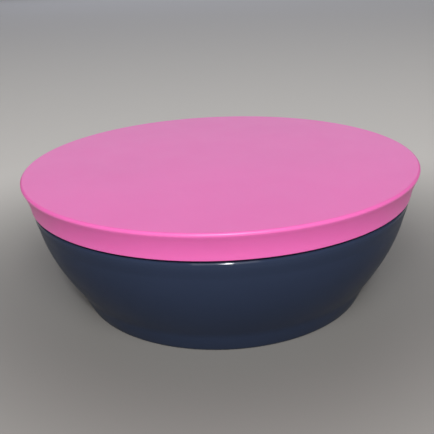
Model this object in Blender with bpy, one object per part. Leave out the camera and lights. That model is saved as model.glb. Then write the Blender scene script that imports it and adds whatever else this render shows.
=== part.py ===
"""Go stone bowl: a low, wide, round moulded plastic bowl with a flat press-on lid.

Metres, +Z up. The bowl stands on z = 0 and both pieces are turned about the Z axis.
The lid lifts straight off along +Z.

  bowl  one moulding: foot ring, flared wall, small round shoulder, inset rim
  lid   one moulding: flat top, rounded overhanging edge, skirt outside the rim,
        plug ring inside the rim
"""

import math

import bpy

MM = 0.001
SEGMENTS = 64

# ---- overall -------------------------------------------------------------
LID_R = 100.0 * MM          # outermost radius, at the lid's rounded edge
TOP_Z = 68.1 * MM           # top of the closed bowl

# ---- lid -----------------------------------------------------------------
EDGE_R = 1.4 * MM           # rounding of the lid's outer edge
PLATE_T = 1.8 * MM          # thickness of the lid's top plate
SKIRT_TOP_R = 99.1 * MM     # outside of the skirt, just under the edge
SKIRT_LOW_R = 96.4 * MM     # outside of the skirt, at its bottom
SKIRT_Z = 54.8 * MM         # bottom of the skirt
SKIRT_T = 1.5 * MM          # skirt thickness
SNAP_OUT = 0.25 * MM        # the soft ridge inside the skirt's bottom edge
PLUG_R = 90.4 * MM          # outside of the plug ring at its root
PLUG_LOW_R = 89.7 * MM      # outside of the plug ring at its bottom
PLUG_T = 1.4 * MM
PLUG_Z = 58.6 * MM          # bottom of the plug ring
SEAT_GAP = 0.45 * MM        # clearance between the rim and the lid's plate

# ---- bowl ----------------------------------------------------------------
WALL_TOP_R = 95.0 * MM      # where the flared wall would stand upright
WALL_TOP_Z = 55.0 * MM
WALL_BULGE = 76.0 * MM      # how far the flare runs in over one 100 mm of depth
WALL_POWER = 1.84           # how the flare quickens with depth
WALL_T = 2.4 * MM
SHOULDER_R = 95.5 * MM      # the small round shoulder just under the lid
SHOULDER_Z = 52.7 * MM
SHOULDER_H = 0.9 * MM       # half its height
RIM_R = 93.9 * MM           # outside of the inset rim
RIM_IN_R = 91.6 * MM        # inside of the rim, at its top
RIM_LOW_IN_R = 91.3 * MM    # inside of the wall, level with the shoulder
RIM_BEAD = 0.35 * MM        # the rim's outer bead, which the skirt passes over
RIM_BEAD_Z = 61.2 * MM

FOOT_TOP_R = 77.3 * MM      # outside of the foot ring where it meets the wall
FOOT_TOP_Z = 9.6 * MM
FOOT_LOW_R = 73.4 * MM      # outside of the foot ring at the floor
FOOT_IN_R = 70.4 * MM       # inside of the foot ring
FOOT_POWER = 1.2            # how fast the foot runs in towards the floor
FOOT_EDGE = 0.5 * MM        # rounding of the foot's edges
RECESS_Z = 4.6 * MM         # how high the base is recessed inside the foot
FLOOR_Z = 7.2 * MM          # inside bottom of the bowl
FLOOR_R = 62.0 * MM         # flat part of the inside bottom
CORNER_IN = 4.6 * MM        # how far the inside corner's curve reaches in under the wall
GATE_R = 2.2 * MM           # moulding gate pip, in the middle of the recess
GATE_H = 0.5 * MM


def wall_r(z):
    """Outside radius of the flared wall at height z."""
    depth = max(0.0, (WALL_TOP_Z - z) / 0.1)
    return WALL_TOP_R - WALL_BULGE * depth ** WALL_POWER


def wall_slope(z):
    """How much the wall's radius grows for each unit of height."""
    step = 0.2 * MM
    return (wall_r(z + step) - wall_r(z - step)) / (2 * step)


def foot_r(z):
    """Outside radius of the foot ring at height z: upright on top, running in below."""
    down = (FOOT_TOP_Z - z) / FOOT_TOP_Z
    return FOOT_TOP_R - (FOOT_TOP_R - FOOT_LOW_R) * down ** FOOT_POWER


def skirt_r(z):
    """Outside radius of the lid's skirt at height z: upright below, flaring out to the edge."""
    up = (z - SKIRT_Z) / (TOP_Z - 2 * EDGE_R - SKIRT_Z)
    return SKIRT_LOW_R + (SKIRT_TOP_R - SKIRT_LOW_R) * up * up


def arc(cr, cz, rad, start, end, steps):
    """Points on a circle in the (radius, height) plane, angles in degrees."""
    out = []
    for i in range(steps + 1):
        a = math.radians(start + (end - start) * i / steps)
        out.append((cr + rad * math.cos(a), cz + rad * math.sin(a)))
    return out


def inner_wall(z_out):
    """The inside point opposite the outside point at height z_out."""
    k = wall_slope(z_out)
    n = math.hypot(1.0, k)
    return wall_r(z_out) - WALL_T / n, z_out + WALL_T * k / n


def bowl_profile():
    """(radius, height) from the middle of the underside round to the middle of the inside."""
    p = [(0.0, RECESS_Z - GATE_H), (GATE_R, RECESS_Z - GATE_H), (GATE_R, RECESS_Z)]
    # recess and foot ring
    p += [(FOOT_IN_R - 1.2 * MM, RECESS_Z), (FOOT_IN_R - 0.3 * MM, RECESS_Z - 0.7 * MM)]
    p += [(FOOT_IN_R, FOOT_EDGE), (FOOT_IN_R + FOOT_EDGE, 0.0)]
    p += [(FOOT_LOW_R - FOOT_EDGE, 0.0), (FOOT_LOW_R + 0.25 * MM, FOOT_EDGE)]
    for z in (2.6 * MM, 5.0 * MM, 7.4 * MM):
        p.append((foot_r(z), z))
    # the concave fillet and the flared wall
    p.append((FOOT_TOP_R + 0.1 * MM, FOOT_TOP_Z))
    wall_low, wall_high = FOOT_TOP_Z + 2.0 * MM, SHOULDER_Z - SHOULDER_H - 0.2 * MM
    steps = 10
    for i in range(steps + 1):
        z = wall_low + (wall_high - wall_low) * i / steps
        p.append((wall_r(z), z))
    # round shoulder, then the inset rim
    base = wall_r(SHOULDER_Z)
    p += [(SHOULDER_R - 0.25 * MM, SHOULDER_Z - 0.75 * MM), (SHOULDER_R, SHOULDER_Z),
          (SHOULDER_R - 0.2 * MM, SHOULDER_Z + 0.6 * MM), (base, SHOULDER_Z + SHOULDER_H)]
    p.append((RIM_R, SHOULDER_Z + SHOULDER_H + 0.1 * MM))
    p += [(RIM_R, RIM_BEAD_Z - 1.3 * MM), (RIM_R + RIM_BEAD, RIM_BEAD_Z), (RIM_R, RIM_BEAD_Z + 1.3 * MM)]
    rim_top = TOP_Z - PLATE_T - SEAT_GAP
    mid = (RIM_R + RIM_IN_R) / 2
    lip = (RIM_R - RIM_IN_R) / 2
    p += arc(mid, rim_top - lip, lip, 0, 180, 6)
    # inside
    p.append((RIM_LOW_IN_R, SHOULDER_Z))
    steps = 8
    in_high, in_low = 45.0 * MM, FOOT_TOP_Z + 4.2 * MM
    for i in range(steps + 1):
        p.append(inner_wall(in_high + (in_low - in_high) * i / steps))
    # round corner down to the flat inside bottom
    r1, z1 = p[-1]
    for t in (0.35, 0.7):
        u = 1.0 - t
        c = (r1 - CORNER_IN, FLOOR_Z + 0.35 * MM)
        p.append((u * u * r1 + 2 * u * t * c[0] + t * t * FLOOR_R,
                  u * u * z1 + 2 * u * t * c[1] + t * t * FLOOR_Z))
    p += [(FLOOR_R, FLOOR_Z), (0.0, FLOOR_Z)]
    return p


def lid_profile():
    """(radius, height) from the middle of the underside round to the middle of the top."""
    under = TOP_Z - PLATE_T
    edge_z = TOP_Z - EDGE_R
    p = [(0.0, under), (PLUG_R - PLUG_T - 0.5 * MM, under), (PLUG_R - PLUG_T, under - 0.5 * MM)]
    # plug ring
    p += [(PLUG_LOW_R - PLUG_T + 0.1 * MM, PLUG_Z + 0.4 * MM), (PLUG_LOW_R - PLUG_T + 0.4 * MM, PLUG_Z)]
    p += [(PLUG_LOW_R - 0.4 * MM, PLUG_Z), (PLUG_LOW_R, PLUG_Z + 0.5 * MM), (PLUG_R, under - 0.2 * MM)]
    # channel that takes the rim, then down the inside of the skirt
    in_top = SKIRT_TOP_R - SKIRT_T
    in_low = SKIRT_LOW_R - SKIRT_T
    p += [(PLUG_R + 0.3 * MM, under), (in_top - 0.6 * MM, under), (in_top, under - 0.6 * MM)]
    p += [(in_low + 0.4 * MM, SKIRT_Z + 3.2 * MM), (in_low - SNAP_OUT + 0.1 * MM, SKIRT_Z + 1.6 * MM)]
    p += [(in_low, SKIRT_Z + 0.4 * MM), (in_low + 0.4 * MM, SKIRT_Z)]
    # outside of the skirt
    p += [(SKIRT_LOW_R - 0.45 * MM, SKIRT_Z), (SKIRT_LOW_R, SKIRT_Z + 0.5 * MM)]
    flare_top = TOP_Z - 2 * EDGE_R
    for up in (0.45, 0.7, 0.86, 1.0):
        z = SKIRT_Z + (flare_top - SKIRT_Z) * up
        p.append((skirt_r(z), z))
    # rounded edge up to the flat top
    p += arc(LID_R - EDGE_R, edge_z, EDGE_R, -45, 90, 7)
    p.append((0.0, TOP_Z))
    return p


def turn(name, profile):
    """Turns a closed (radius, height) profile, given bottom to top on its outer side, about Z."""
    verts, rings, faces = [], [], []
    for r, z in profile:
        if r < 1e-9:
            rings.append([len(verts)])
            verts.append((0.0, 0.0, z))
            continue
        rings.append(list(range(len(verts), len(verts) + SEGMENTS)))
        for i in range(SEGMENTS):
            a = 2 * math.pi * i / SEGMENTS
            verts.append((r * math.cos(a), r * math.sin(a), z))
    for low, high in zip(rings, rings[1:]):
        for i in range(SEGMENTS):
            j = (i + 1) % SEGMENTS
            if len(low) == 1:
                faces.append((low[0], high[j], high[i]))
            elif len(high) == 1:
                faces.append((low[i], low[j], high[0]))
            else:
                faces.append((low[i], low[j], high[j], high[i]))
    mesh = bpy.data.meshes.new(name)
    mesh.from_pydata(verts, [], faces)
    mesh.validate()
    mesh.update()
    mesh.shade_smooth()
    mesh.set_sharp_from_angle(angle=math.radians(38))
    obj = bpy.data.objects.new(name, mesh)
    bpy.context.scene.collection.objects.link(obj)
    return obj


def plastic(name, colour, roughness):
    mat = bpy.data.materials.new(name)
    mat.use_nodes = True
    bsdf = mat.node_tree.nodes["Principled BSDF"]
    bsdf.inputs["Base Color"].default_value = (*colour, 1.0)
    bsdf.inputs["Roughness"].default_value = roughness
    bsdf.inputs["Metallic"].default_value = 0.0
    return mat


def main():
    for obj in list(bpy.data.objects):
        bpy.data.objects.remove(obj, do_unlink=True)

    bowl = turn("bowl", bowl_profile())
    bowl.data.materials.append(plastic("bowl_plastic", (0.018, 0.027, 0.055), 0.42))

    lid = turn("lid", lid_profile())
    lid.data.materials.append(plastic("lid_plastic", (0.78, 0.13, 0.42), 0.5))

    lift = bpy.data.objects.new("lid_lift", None)   # the lid lifts straight up this axis
    lift.empty_display_size = 0.02
    bpy.context.scene.collection.objects.link(lift)
    lid.parent = lift


main()
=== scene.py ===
"""Looks for the go stone bowl: fine turned meshes, moulded-plastic materials, light and camera."""

import math

import bpy
from mathutils import Matrix, Vector


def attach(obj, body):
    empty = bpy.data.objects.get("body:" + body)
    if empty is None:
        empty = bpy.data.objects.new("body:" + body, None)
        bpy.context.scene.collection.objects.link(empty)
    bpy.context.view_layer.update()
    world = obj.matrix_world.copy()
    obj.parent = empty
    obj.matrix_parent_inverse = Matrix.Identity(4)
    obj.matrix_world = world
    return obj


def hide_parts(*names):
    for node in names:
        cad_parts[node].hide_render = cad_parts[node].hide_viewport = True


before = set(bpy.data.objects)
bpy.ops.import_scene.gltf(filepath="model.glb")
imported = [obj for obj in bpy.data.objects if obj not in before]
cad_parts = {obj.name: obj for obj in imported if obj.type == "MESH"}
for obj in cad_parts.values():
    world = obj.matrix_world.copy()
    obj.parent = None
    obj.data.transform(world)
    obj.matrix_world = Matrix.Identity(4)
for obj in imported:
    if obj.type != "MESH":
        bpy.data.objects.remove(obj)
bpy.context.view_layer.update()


MM = 0.001
SEG = 288

# ---------------------------------------------------------------------------
# sizes, the same design as the frame
LID_R, TOP_Z = 100.0, 68.1
EDGE_R, PLATE_T = 1.4, 1.8
SKIRT_TOP_R, SKIRT_LOW_R, SKIRT_Z, SKIRT_T = 99.1, 96.4, 54.8, 1.5
PLUG_R, PLUG_LOW_R, PLUG_T, PLUG_Z = 90.4, 89.7, 1.4, 58.6
SEAT_GAP = 0.45
WALL_TOP_R, WALL_TOP_Z, WALL_BULGE, WALL_POWER, WALL_T = 95.0, 55.0, 76.0, 1.84, 2.4
SHOULDER_R, SHOULDER_Z, SHOULDER_H = 95.5, 52.7, 0.9
RIM_R, RIM_IN_R, RIM_LOW_IN_R, RIM_BEAD, RIM_BEAD_Z = 93.9, 91.6, 91.3, 0.35, 61.2
FOOT_TOP_R, FOOT_TOP_Z, FOOT_LOW_R, FOOT_IN_R, FOOT_POWER = 77.3, 9.6, 73.4, 70.4, 1.2
RECESS_Z, FLOOR_Z, FLOOR_R = 4.6, 7.2, 62.0


def wall_r(z):
    depth = max(0.0, (WALL_TOP_Z - z) / 100.0)
    return WALL_TOP_R - WALL_BULGE * depth ** WALL_POWER


def wall_slope(z):
    return (wall_r(z + 0.2) - wall_r(z - 0.2)) / 0.4


def skin_r(z):
    """The wall, easing out to the shoulder's radius over its top few millimetres."""
    t = min(1.0, max(0.0, (z - 45.0) / (SHOULDER_Z - 0.9 - 45.0)))
    return wall_r(z) + (SHOULDER_R - wall_r(SHOULDER_Z - 0.9)) * t * t * (3 - 2 * t)


def foot_r(z):
    down = (FOOT_TOP_Z - z) / FOOT_TOP_Z
    return FOOT_TOP_R - (FOOT_TOP_R - FOOT_LOW_R) * down ** FOOT_POWER


def skirt_r(z):
    up = max(0.0, (z - SKIRT_Z) / (TOP_Z - 2 * EDGE_R - SKIRT_Z))
    return SKIRT_LOW_R + (SKIRT_TOP_R - SKIRT_LOW_R) * (0.7 * up * up + 0.3 * up)


def inner_wall(z_out):
    k = wall_slope(z_out)
    n = math.hypot(1.0, k)
    return wall_r(z_out) - WALL_T / n, z_out + WALL_T * k / n


def soften(points, steps=6):
    """Rounds each corner of a (r, z, radius) outline with an arc-like curve of that radius."""
    out = []
    count = len(points)
    for i, (r, z, rad) in enumerate(points):
        if rad <= 0 or i in (0, count - 1):
            out.append((r, z))
            continue
        p = Vector((r, z))
        a = Vector(points[i - 1][:2]) - p
        b = Vector(points[i + 1][:2]) - p
        if a.length < 1e-6 or b.length < 1e-6:
            out.append((r, z))
            continue
        turn = math.pi - a.angle(b)
        cut = min(rad * math.tan(turn / 2), a.length * 0.49, b.length * 0.49)
        pa, pb = p + a.normalized() * cut, p + b.normalized() * cut
        for s in range(steps + 1):
            t = s / steps
            q = pa * (1 - t) ** 2 + p * 2 * t * (1 - t) + pb * t * t
            out.append((q.x, q.y))
    kept = [out[0]]
    for q in out[1:]:
        if math.dist(q, kept[-1]) > 0.02:
            kept.append(q)
    kept[-1] = out[-1]
    return kept


def turned(name, outline):
    verts, rings, faces = [], [], []
    for r, z in outline:
        if r < 1e-6:
            rings.append([len(verts)])
            verts.append((0.0, 0.0, z * MM))
            continue
        rings.append(list(range(len(verts), len(verts) + SEG)))
        for i in range(SEG):
            a = 2 * math.pi * i / SEG
            verts.append((r * MM * math.cos(a), r * MM * math.sin(a), z * MM))
    for low, high in zip(rings, rings[1:]):
        for i in range(SEG):
            j = (i + 1) % SEG
            if len(low) == 1:
                faces.append((low[0], high[j], high[i]))
            elif len(high) == 1:
                faces.append((low[i], low[j], high[0]))
            else:
                faces.append((low[i], low[j], high[j], high[i]))
    mesh = bpy.data.meshes.new(name)
    mesh.from_pydata(verts, [], faces)
    mesh.validate()
    mesh.update()
    mesh.shade_smooth()
    obj = bpy.data.objects.new(name, mesh)
    bpy.context.scene.collection.objects.link(obj)
    return obj


def spread(a, b, n):
    return [a + (b - a) * i / n for i in range(n + 1)]


# ---------------------------------------------------------------------------
# bowl
def bowl_outline():
    p = [(0.0, RECESS_Z - 0.5, 0), (1.6, RECESS_Z - 0.5, 0.25), (2.3, RECESS_Z - 0.1, 0.3), (3.4, RECESS_Z, 0.5)]
    p += [(20.0, RECESS_Z, 0), (50.0, RECESS_Z, 0)]
    p += [(FOOT_IN_R - 0.5, RECESS_Z, 1.1), (FOOT_IN_R, 0.0, 0.6), (FOOT_LOW_R - 0.1, 0.0, 1.0)]
    p += [(foot_r(z), z, 0) for z in spread(1.1, FOOT_TOP_Z - 4.2, 5)]
    p += [(FOOT_TOP_R + 0.1, FOOT_TOP_Z, 30.0)]
    p += [(skin_r(z), z, 0) for z in spread(FOOT_TOP_Z + 4.2, SHOULDER_Z - 0.9, 50)]
    p += [(SHOULDER_R, SHOULDER_Z + 0.05, 0.8)]
    p += [(SHOULDER_R - 0.55, SHOULDER_Z + SHOULDER_H, 0.5), (RIM_R, SHOULDER_Z + SHOULDER_H, 0.3)]
    p += [(RIM_R, RIM_BEAD_Z - 1.3, 0.6), (RIM_R + RIM_BEAD, RIM_BEAD_Z, 0.8), (RIM_R, RIM_BEAD_Z + 1.3, 0.6)]
    top = TOP_Z - PLATE_T - SEAT_GAP
    p += [(RIM_R, top, 1.0), (RIM_IN_R, top, 1.0)]
    p += [(RIM_LOW_IN_R, SHOULDER_Z, 3.0)]
    p += [(*inner_wall(z), 0) for z in spread(45.0, FOOT_TOP_Z + 4.2, 34)]
    r1, z1 = inner_wall(FOOT_TOP_Z + 4.2)
    cr, cz = r1 - 4.6, FLOOR_Z + 0.35
    for t in (0.15, 0.3, 0.45, 0.6, 0.75, 0.9):
        u = 1 - t
        p.append((u * u * r1 + 2 * u * t * cr + t * t * FLOOR_R, u * u * z1 + 2 * u * t * cz + t * t * FLOOR_Z, 0))
    p += [(FLOOR_R, FLOOR_Z, 0), (40.0, FLOOR_Z, 0), (15.0, FLOOR_Z, 0), (0.0, FLOOR_Z, 0)]
    return soften(p)


# ---------------------------------------------------------------------------
# lid
def lid_outline():
    under = TOP_Z - PLATE_T
    bead_r = 1.2
    neck_z = TOP_Z - 2 * EDGE_R + 0.3
    in_top, in_low = SKIRT_TOP_R - SKIRT_T, SKIRT_LOW_R - SKIRT_T
    p = [(0.0, under - 0.35, 0), (1.4, under - 0.35, 0.2), (2.1, under - 0.05, 0.2), (3.0, under, 0.3)]
    p += [(30.0, under, 0), (60.0, under, 0)]
    p += [(PLUG_R - PLUG_T, under, 1.0), (PLUG_LOW_R - PLUG_T, PLUG_Z, 0.5), (PLUG_LOW_R, PLUG_Z, 0.6)]
    p += [(PLUG_R, under, 0.4), (in_top, under, 0.9)]
    p += [(in_low + 0.4, SKIRT_Z + 3.2, 0.8), (in_low - 0.15, SKIRT_Z + 1.6, 0.8), (in_low + 0.1, SKIRT_Z, 0.5)]
    p += [(SKIRT_LOW_R, SKIRT_Z, 0.6)]
    p += [(skirt_r(z) + 0.25 * (z - SKIRT_Z) / 10.5, z, 0) for z in spread(SKIRT_Z + 1.0, neck_z - 0.8, 16)]
    p += [(skirt_r(neck_z) + 0.3, neck_z, 1.8)]
    for a in spread(-24, 90, 22):
        t = math.radians(a)
        p.append((LID_R - bead_r + bead_r * math.cos(t), TOP_Z - bead_r + bead_r * math.sin(t), 0))
    p += [(LID_R - bead_r - 1.4, TOP_Z, 0), (80.0, TOP_Z, 0), (50.0, TOP_Z, 0), (20.0, TOP_Z, 0), (0.0, TOP_Z, 0)]
    return soften(p)


bowl = turned("bowl_shell", bowl_outline())
lid = turned("lid_shell", lid_outline())


# ---------------------------------------------------------------------------
# moulded plastic
def moulded(name, colour, shade, roughness, spread_r, grain, grain_depth, scuff, sss, ior, level, polished):
    """Injection-moulded plastic: slight colour drift, fine mould texture, faint handling scuffs."""
    mat = bpy.data.materials.new(name)
    mat.use_nodes = True
    nt = mat.node_tree
    n, link = nt.nodes, nt.links.new
    bsdf = n["Principled BSDF"]
    bsdf.inputs["Metallic"].default_value = 0.0
    bsdf.inputs["IOR"].default_value = ior
    bsdf.inputs["Specular IOR Level"].default_value = level
    if sss > 0:
        bsdf.inputs["Subsurface Weight"].default_value = sss
        bsdf.inputs["Subsurface Radius"].default_value = (1.0, 0.35, 0.6)
        bsdf.inputs["Subsurface Scale"].default_value = 0.0015
    co = n.new("ShaderNodeTexCoord")

    def noise(scale, detail, rough=0.5, stretch=None):
        t = n.new("ShaderNodeTexNoise")
        t.inputs["Scale"].default_value = scale
        t.inputs["Detail"].default_value = detail
        t.inputs["Roughness"].default_value = rough
        src = co.outputs["Object"]
        if stretch:
            m = n.new("ShaderNodeMapping")
            m.inputs["Scale"].default_value = stretch
            m.inputs["Rotation"].default_value = (0.0, 0.0, 0.6)
            link(src, m.inputs["Vector"])
            src = m.outputs["Vector"]
        link(src, t.inputs["Vector"])
        return t.outputs["Fac"]

    def ranged(fac, lo, hi, a=0.3, b=0.7):
        m = n.new("ShaderNodeMapRange")
        m.inputs["From Min"].default_value = a
        m.inputs["From Max"].default_value = b
        m.inputs["To Min"].default_value = lo
        m.inputs["To Max"].default_value = hi
        link(fac, m.inputs["Value"])
        return m.outputs["Result"]

    # colour: a broad, faint drift and a finer pigment mottle
    mix = n.new("ShaderNodeMix")
    mix.data_type = "RGBA"
    mix.inputs["A"].default_value = (*colour, 1)
    mix.inputs["B"].default_value = (*shade, 1)
    drift = noise(18.0, 3.0)
    mottle = noise(420.0, 2.0)
    add = n.new("ShaderNodeMath")
    add.operation = "MULTIPLY_ADD"
    link(mottle, add.inputs[0])
    add.inputs[1].default_value = 0.35
    link(ranged(drift, -0.1, 0.6), add.inputs[2])
    link(add.outputs[0], mix.inputs["Factor"])
    link(mix.outputs["Result"], bsdf.inputs["Base Color"])

    # roughness: mould polish varies, with faint long scuffs
    polish = ranged(noise(60.0, 4.0, 0.6), roughness - spread_r, roughness + spread_r)
    lines = ranged(noise(90.0, 5.0, 0.7, (1.0, 14.0, 1.0)), 0.0, scuff, 0.62, 0.74)
    tot = n.new("ShaderNodeMath")
    tot.operation = "ADD"
    link(polish, tot.inputs[0])
    link(lines, tot.inputs[1])
    # the band of height that hands and the other piece rub is smoother
    height = n.new("ShaderNodeSeparateXYZ")
    link(co.outputs["Object"], height.inputs[0])
    away = n.new("ShaderNodeMath")
    away.operation = "SUBTRACT"
    link(height.outputs["Z"], away.inputs[0])
    away.inputs[1].default_value = polished[0]
    size = n.new("ShaderNodeMath")
    size.operation = "ABSOLUTE"
    link(away.outputs[0], size.inputs[0])
    rubbed = n.new("ShaderNodeMapRange")
    rubbed.interpolation_type = "SMOOTHSTEP"
    rubbed.inputs["From Min"].default_value = polished[1] * 0.5
    rubbed.inputs["From Max"].default_value = polished[1]
    rubbed.inputs["To Min"].default_value = polished[2]
    rubbed.inputs["To Max"].default_value = 0.0
    link(size.outputs[0], rubbed.inputs["Value"])
    smooth = n.new("ShaderNodeMath")
    smooth.operation = "SUBTRACT"
    smooth.use_clamp = True
    link(tot.outputs[0], smooth.inputs[0])
    link(rubbed.outputs["Result"], smooth.inputs[1])
    link(smooth.outputs[0], bsdf.inputs["Roughness"])

    # bump: fine mould grain over a very low ripple
    fine = n.new("ShaderNodeBump")
    fine.inputs["Strength"].default_value = 0.35
    fine.inputs["Distance"].default_value = grain_depth
    link(noise(grain, 2.0, 0.5), fine.inputs["Height"])
    broad = n.new("ShaderNodeBump")
    broad.inputs["Strength"].default_value = 0.25
    broad.inputs["Distance"].default_value = 0.00018
    link(noise(30.0, 1.0), broad.inputs["Height"])
    link(broad.outputs["Normal"], fine.inputs["Normal"])
    link(fine.outputs["Normal"], bsdf.inputs["Normal"])
    return mat


BOWL_COLOUR = (0.024, 0.035, 0.069)
LID_COLOUR = (0.78, 0.140, 0.452)
bowl_mat = moulded("bowl_moulded_plastic", BOWL_COLOUR, tuple(c * 0.86 for c in BOWL_COLOUR),
                   0.36, 0.03, 2600.0, 0.00002, 0.04, 0.0, 1.45, 0.10,
                   ((SHOULDER_Z + 0.3) * MM, 0.0018, 0.29))
lid_mat = moulded("lid_moulded_plastic", LID_COLOUR, tuple(c * 0.95 for c in LID_COLOUR),
                  0.37, 0.02, 2200.0, 0.00002, 0.03, 0.10, 1.46, 0.42,
                  ((TOP_Z - 1.2) * MM, 0.0016, 0.04))

for obj, mat, body, node, slot in ((bowl, bowl_mat, "bowl", "bowl", "bowl_plastic"), (lid, lid_mat, "lid", "lid", "lid_plastic")):
    obj.data.materials.append(mat)
    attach(obj, body)
    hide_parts(node)

# ---------------------------------------------------------------------------
# floor: pale, with a painted contact shadow darkening it in a ring around the bowl
mesh = bpy.data.meshes.new("floor")
mesh.from_pydata([(-40, -40, 0), (40, -40, 0), (40, 40, 0), (-40, 40, 0)], [], [(0, 1, 2, 3)])
floor = bpy.data.objects.new("floor", mesh)
bpy.context.scene.collection.objects.link(floor)
floor.location.z = -0.0002
fm = bpy.data.materials.new("floor_pale_painted_contact_shade")
fm.use_nodes = True
fb = fm.node_tree.nodes["Principled BSDF"]
fn, fl = fm.node_tree.nodes, fm.node_tree.links.new
fco = fn.new("ShaderNodeTexCoord")
far = fn.new("ShaderNodeVectorMath")
far.operation = "LENGTH"
fl(fco.outputs["Object"], far.inputs[0])
# painted shade: the floor colour darkens towards the bowl as a painted contact shadow
painted_shade_ramp = fn.new("ShaderNodeMapRange")
painted_shade_ramp.interpolation_type = "SMOOTHSTEP"
painted_shade_ramp.inputs["From Min"].default_value = 0.09
painted_shade_ramp.inputs["From Max"].default_value = 0.29
fl(far.outputs["Value"], painted_shade_ramp.inputs["Value"])
floor_painted_shade_mix = fn.new("ShaderNodeMix")
floor_painted_shade_mix.data_type = "RGBA"
# A is the painted contact-shadow colour near the bowl, B the plain pale floor further out
floor_painted_shade_mix.inputs["A"].default_value = (0.20, 0.195, 0.188, 1)
floor_painted_shade_mix.inputs["B"].default_value = (0.62, 0.605, 0.58, 1)
fl(painted_shade_ramp.outputs["Result"], floor_painted_shade_mix.inputs["Factor"])
fl(floor_painted_shade_mix.outputs["Result"], fb.inputs["Base Color"])
fb.inputs["Roughness"].default_value = 0.75
floor.data.materials.append(fm)

# ---------------------------------------------------------------------------
# camera
PITCH, YAW, ROLL = math.radians(21.17), math.radians(-0.41), math.radians(-2.45)
DIST, RISE, FOCAL = 3.3301 * 0.1, 1.6507 * 0.1, 668.0
eye = Vector((0, -DIST, RISE))
fwd = Vector((math.sin(YAW) * math.cos(PITCH), math.cos(YAW) * math.cos(PITCH), -math.sin(PITCH)))
right = Vector((math.cos(YAW), -math.sin(YAW), 0))
up = right.cross(fwd)
x_axis = right * math.cos(ROLL) + up * math.sin(ROLL)
y_axis = up * math.cos(ROLL) - right * math.sin(ROLL)
cam_data = bpy.data.cameras.new("camera")
cam_data.sensor_width = 36.0
cam_data.lens = FOCAL / 434.0 * 36.0
cam_data.clip_start = 0.01
cam_data.clip_end = 20.0
cam = bpy.data.objects.new("camera", cam_data)
bpy.context.scene.collection.objects.link(cam)
rot = Matrix((x_axis, y_axis, -fwd)).transposed()
cam.matrix_world = Matrix.Translation(eye) @ rot.to_4x4()
bpy.context.scene.camera = cam


# ---------------------------------------------------------------------------
# soft studio light
def softbox(name, loc, target, size, power, colour=(1, 1, 1), size_y=None):
    data = bpy.data.lights.new(name, "AREA")
    data.shape = "RECTANGLE"
    data.size = size
    data.size_y = size_y or size
    data.energy = power
    data.color = colour
    obj = bpy.data.objects.new(name, data)
    obj.location = loc
    obj.rotation_euler = (Vector(target) - Vector(loc)).to_track_quat("-Z", "Y").to_euler()
    bpy.context.scene.collection.objects.link(obj)
    return obj


softbox("key", (0.045, -2.25, 2.03), (0, 0, 0.04), 1.8, 80.0, (1.0, 0.985, 0.965), 1.88)
softbox("spark", (0.035, -0.93, 0.77), (0, 0, 0.04), 0.11, 5.2, (1.0, 0.99, 0.98), 0.06)
softbox("wall", (0.0, 3.3, 1.30), (0, 0, 0.06), 3.6, 20.0, (0.74, 0.80, 1.0), 1.9)

world = bpy.data.worlds.new("world")
bpy.context.scene.world = world
bpy.context.scene.view_settings.view_transform = "Standard"
world.use_nodes = True
wn = world.node_tree
bg = wn.nodes["Background"]
wco = wn.nodes.new("ShaderNodeTexCoord")
sep = wn.nodes.new("ShaderNodeSeparateXYZ")
wn.links.new(wco.outputs["Generated"], sep.inputs[0])
rise = wn.nodes.new("ShaderNodeMapRange")
rise.inputs["From Min"].default_value = -0.1
rise.inputs["From Max"].default_value = 0.9
rise.inputs["To Min"].default_value = 0.09
rise.inputs["To Max"].default_value = 0.17
wn.links.new(sep.outputs["Z"], rise.inputs["Value"])
wn.links.new(rise.outputs["Result"], bg.inputs["Strength"])
bg.inputs["Color"].default_value = (1.0, 0.97, 0.94, 1)
